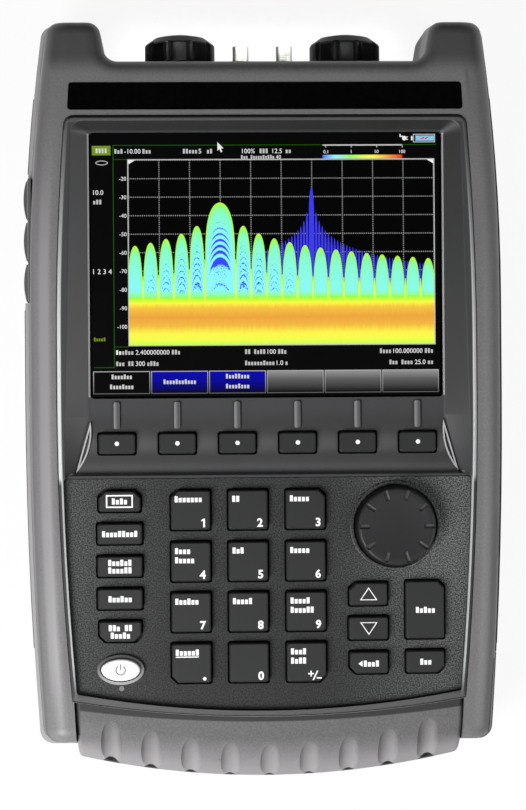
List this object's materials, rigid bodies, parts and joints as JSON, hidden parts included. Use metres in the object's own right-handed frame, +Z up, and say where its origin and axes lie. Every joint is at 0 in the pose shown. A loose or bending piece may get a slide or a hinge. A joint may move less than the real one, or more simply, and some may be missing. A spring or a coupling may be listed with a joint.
{
  "type": "handheld microwave analyzer",
  "caption": "Rugged handheld microwave analyzer with colour display, softkeys, keypad, rotary knob and capped coaxial test ports.",
  "frame": {"origin": "centre of the footprint on the table, the analyzer lying on its back", "axes": "+X to the right of the screen, +Y to the connector end, +Z up out of the screen"},
  "size_m": [0.188, 0.292, 0.072],
  "materials": {
    "frame_rubber": "soft-touch matt",
    "grip_rubber": "matt",
    "bumper_rubber": "matt",
    "gloss_black": "gloss",
    "bezel_plastic": "satin",
    "bright_metal": "polished",
    "panel_plastic": "fine texture",
    "window_glass": "gloss",
    "display_module": "lit display",
    "membrane_rubber": "matt",
    "circuit_board": "solder mask",
    "lamp_lens": "clear",
    "knob_rubber": "satin",
    "key_rubber": "matt",
    "power_white": "satin",
    "steel": "plain",
    "milled_aluminium": "milled",
    "battery_plastic": "matt",
    "latch_plastic": "satin",
    "port_steel": "plated",
    "cap_black": "satin",
    "flap_rubber": "matt",
    "jack_plastic": "matt",
    "stand_plastic": "matt"
  },
  "bodies": {
    "case": {"front_frame": "frame_rubber", "rear_shell": "frame_rubber", "side_grips": "grip_rubber", "bottom_bumper": "bumper_rubber", "name_plate": "gloss_black", "display_bezel": "bezel_plastic", "bright_trims": "bright_metal", "keypad_panel": "panel_plastic", "display_window": "window_glass", "lcd_module": "display_module", "key_membrane": "membrane_rubber", "key_board": "circuit_board", "main_board": "circuit_board", "status_lamp": "lamp_lens", "knob_encoder": "steel", "rf_deck": "milled_aluminium", "battery_pack": "battery_plastic", "hinge_pins": "steel", "test_ports": "port_steel", "sma_jacks": "port_steel", "side_jacks": "jack_plastic", "case_screws": "steel"},
    "key_mode": {"key_mode": "key_rubber"},
    "key_frequency": {"key_frequency": "key_rubber"},
    "key_scale": {"key_scale": "key_rubber"},
    "key_marker": {"key_marker": "key_rubber"},
    "key_tools": {"key_tools": "key_rubber"},
    "key_1": {"key_1": "key_rubber"},
    "key_2": {"key_2": "key_rubber"},
    "key_3": {"key_3": "key_rubber"},
    "key_4": {"key_4": "key_rubber"},
    "key_5": {"key_5": "key_rubber"},
    "key_6": {"key_6": "key_rubber"},
    "key_7": {"key_7": "key_rubber"},
    "key_8": {"key_8": "key_rubber"},
    "key_9": {"key_9": "key_rubber"},
    "key_point": {"key_point": "key_rubber"},
    "key_0": {"key_0": "key_rubber"},
    "key_sign": {"key_sign": "key_rubber"},
    "arrow_up": {"arrow_up": "key_rubber"},
    "arrow_down": {"arrow_down": "key_rubber"},
    "key_back": {"key_back": "key_rubber"},
    "key_enter": {"key_enter": "key_rubber"},
    "key_escape": {"key_escape": "key_rubber"},
    "power_key": {"power_key": "power_white"},
    "softkey_1": {"softkey_1": "key_rubber"},
    "softkey_2": {"softkey_2": "key_rubber"},
    "softkey_3": {"softkey_3": "key_rubber"},
    "softkey_4": {"softkey_4": "key_rubber"},
    "softkey_5": {"softkey_5": "key_rubber"},
    "softkey_6": {"softkey_6": "key_rubber"},
    "rotary_knob": {"rotary_knob": "knob_rubber"},
    "port_cap_left": {"port_cap_left": "cap_black"},
    "port_cap_right": {"port_cap_right": "cap_black"},
    "battery_door": {"battery_door": "frame_rubber"},
    "battery_latch": {"battery_latch": "latch_plastic"},
    "side_door_lower": {"side_door_lower": "flap_rubber"},
    "side_door_middle": {"side_door_middle": "flap_rubber"},
    "side_door_upper": {"side_door_upper": "flap_rubber"},
    "kickstand": {"kickstand": "stand_plastic"}
  },
  "joints": [
    {"name": "knob_turn", "type": "hinge", "parent": "case", "child": "rotary_knob", "pos_m": [0.0485, -0.0492, 0.068], "axis": [0, 0, 1], "continuous": true},
    {"name": "cap_left_off", "type": "slide", "parent": "case", "child": "port_cap_left", "axis": [0, 1, 0], "range_m": [0, 0.03]},
    {"name": "cap_right_off", "type": "slide", "parent": "case", "child": "port_cap_right", "axis": [0, 1, 0], "range_m": [0, 0.03]},
    {"name": "battery_door_off", "type": "slide", "parent": "case", "child": "battery_door", "axis": [1, 0, 0], "range_m": [0, 0.03]},
    {"name": "battery_latch_slide", "type": "slide", "parent": "battery_door", "child": "battery_latch", "axis": [0, 0, 1], "range_m": [0, 0.003], "stiffness_N_per_m": 200, "springref_m": -0.002},
    {"name": "side_door_lower_swing", "type": "hinge", "parent": "case", "child": "side_door_lower", "pos_m": [-0.0916, 0.0454, 0.019], "axis": [0, -1, 0], "range_deg": [0, 95]},
    {"name": "side_door_middle_swing", "type": "hinge", "parent": "case", "child": "side_door_middle", "pos_m": [-0.0916, 0.0617, 0.019], "axis": [0, -1, 0], "range_deg": [0, 95]},
    {"name": "side_door_upper_swing", "type": "hinge", "parent": "case", "child": "side_door_upper", "pos_m": [-0.0916, 0.078, 0.019], "axis": [0, -1, 0], "range_deg": [0, 95]},
    {"name": "kickstand_swing", "type": "hinge", "parent": "case", "child": "kickstand", "pos_m": [0, 0.0465, 0.0038], "axis": [1, 0, 0], "range_deg": [0, 55]},
    {"name": "key_mode_press", "type": "slide", "parent": "case", "child": "key_mode", "axis": [0, 0, -1], "range_m": [0, 0.0012], "stiffness_N_per_m": 300, "springref_m": -0.002},
    {"name": "key_frequency_press", "type": "slide", "parent": "case", "child": "key_frequency", "axis": [0, 0, -1], "range_m": [0, 0.0012], "stiffness_N_per_m": 300, "springref_m": -0.002},
    {"name": "key_scale_press", "type": "slide", "parent": "case", "child": "key_scale", "axis": [0, 0, -1], "range_m": [0, 0.0012], "stiffness_N_per_m": 300, "springref_m": -0.002},
    {"name": "key_marker_press", "type": "slide", "parent": "case", "child": "key_marker", "axis": [0, 0, -1], "range_m": [0, 0.0012], "stiffness_N_per_m": 300, "springref_m": -0.002},
    {"name": "key_tools_press", "type": "slide", "parent": "case", "child": "key_tools", "axis": [0, 0, -1], "range_m": [0, 0.0012], "stiffness_N_per_m": 300, "springref_m": -0.002},
    {"name": "key_1_press", "type": "slide", "parent": "case", "child": "key_1", "axis": [0, 0, -1], "range_m": [0, 0.0012], "stiffness_N_per_m": 300, "springref_m": -0.002},
    {"name": "key_2_press", "type": "slide", "parent": "case", "child": "key_2", "axis": [0, 0, -1], "range_m": [0, 0.0012], "stiffness_N_per_m": 300, "springref_m": -0.002},
    {"name": "key_3_press", "type": "slide", "parent": "case", "child": "key_3", "axis": [0, 0, -1], "range_m": [0, 0.0012], "stiffness_N_per_m": 300, "springref_m": -0.002},
    {"name": "key_4_press", "type": "slide", "parent": "case", "child": "key_4", "axis": [0, 0, -1], "range_m": [0, 0.0012], "stiffness_N_per_m": 300, "springref_m": -0.002},
    {"name": "key_5_press", "type": "slide", "parent": "case", "child": "key_5", "axis": [0, 0, -1], "range_m": [0, 0.0012], "stiffness_N_per_m": 300, "springref_m": -0.002},
    {"name": "key_6_press", "type": "slide", "parent": "case", "child": "key_6", "axis": [0, 0, -1], "range_m": [0, 0.0012], "stiffness_N_per_m": 300, "springref_m": -0.002},
    {"name": "key_7_press", "type": "slide", "parent": "case", "child": "key_7", "axis": [0, 0, -1], "range_m": [0, 0.0012], "stiffness_N_per_m": 300, "springref_m": -0.002},
    {"name": "key_8_press", "type": "slide", "parent": "case", "child": "key_8", "axis": [0, 0, -1], "range_m": [0, 0.0012], "stiffness_N_per_m": 300, "springref_m": -0.002},
    {"name": "key_9_press", "type": "slide", "parent": "case", "child": "key_9", "axis": [0, 0, -1], "range_m": [0, 0.0012], "stiffness_N_per_m": 300, "springref_m": -0.002},
    {"name": "key_point_press", "type": "slide", "parent": "case", "child": "key_point", "axis": [0, 0, -1], "range_m": [0, 0.0012], "stiffness_N_per_m": 300, "springref_m": -0.002},
    {"name": "key_0_press", "type": "slide", "parent": "case", "child": "key_0", "axis": [0, 0, -1], "range_m": [0, 0.0012], "stiffness_N_per_m": 300, "springref_m": -0.002},
    {"name": "key_sign_press", "type": "slide", "parent": "case", "child": "key_sign", "axis": [0, 0, -1], "range_m": [0, 0.0012], "stiffness_N_per_m": 300, "springref_m": -0.002},
    {"name": "arrow_up_press", "type": "slide", "parent": "case", "child": "arrow_up", "axis": [0, 0, -1], "range_m": [0, 0.0012], "stiffness_N_per_m": 300, "springref_m": -0.002},
    {"name": "arrow_down_press", "type": "slide", "parent": "case", "child": "arrow_down", "axis": [0, 0, -1], "range_m": [0, 0.0012], "stiffness_N_per_m": 300, "springref_m": -0.002},
    {"name": "key_back_press", "type": "slide", "parent": "case", "child": "key_back", "axis": [0, 0, -1], "range_m": [0, 0.0012], "stiffness_N_per_m": 300, "springref_m": -0.002},
    {"name": "key_enter_press", "type": "slide", "parent": "case", "child": "key_enter", "axis": [0, 0, -1], "range_m": [0, 0.0012], "stiffness_N_per_m": 300, "springref_m": -0.002},
    {"name": "key_escape_press", "type": "slide", "parent": "case", "child": "key_escape", "axis": [0, 0, -1], "range_m": [0, 0.0012], "stiffness_N_per_m": 300, "springref_m": -0.002},
    {"name": "power_key_press", "type": "slide", "parent": "case", "child": "power_key", "axis": [0, 0, -1], "range_m": [0, 0.0012], "stiffness_N_per_m": 300, "springref_m": -0.002},
    {"name": "softkey_1_press", "type": "slide", "parent": "case", "child": "softkey_1", "axis": [0, 0, -1], "range_m": [0, 0.0012], "stiffness_N_per_m": 300, "springref_m": -0.002},
    {"name": "softkey_2_press", "type": "slide", "parent": "case", "child": "softkey_2", "axis": [0, 0, -1], "range_m": [0, 0.0012], "stiffness_N_per_m": 300, "springref_m": -0.002},
    {"name": "softkey_3_press", "type": "slide", "parent": "case", "child": "softkey_3", "axis": [0, 0, -1], "range_m": [0, 0.0012], "stiffness_N_per_m": 300, "springref_m": -0.002},
    {"name": "softkey_4_press", "type": "slide", "parent": "case", "child": "softkey_4", "axis": [0, 0, -1], "range_m": [0, 0.0012], "stiffness_N_per_m": 300, "springref_m": -0.002},
    {"name": "softkey_5_press", "type": "slide", "parent": "case", "child": "softkey_5", "axis": [0, 0, -1], "range_m": [0, 0.0012], "stiffness_N_per_m": 300, "springref_m": -0.002},
    {"name": "softkey_6_press", "type": "slide", "parent": "case", "child": "softkey_6", "axis": [0, 0, -1], "range_m": [0, 0.0012], "stiffness_N_per_m": 300, "springref_m": -0.002}
  ]
}
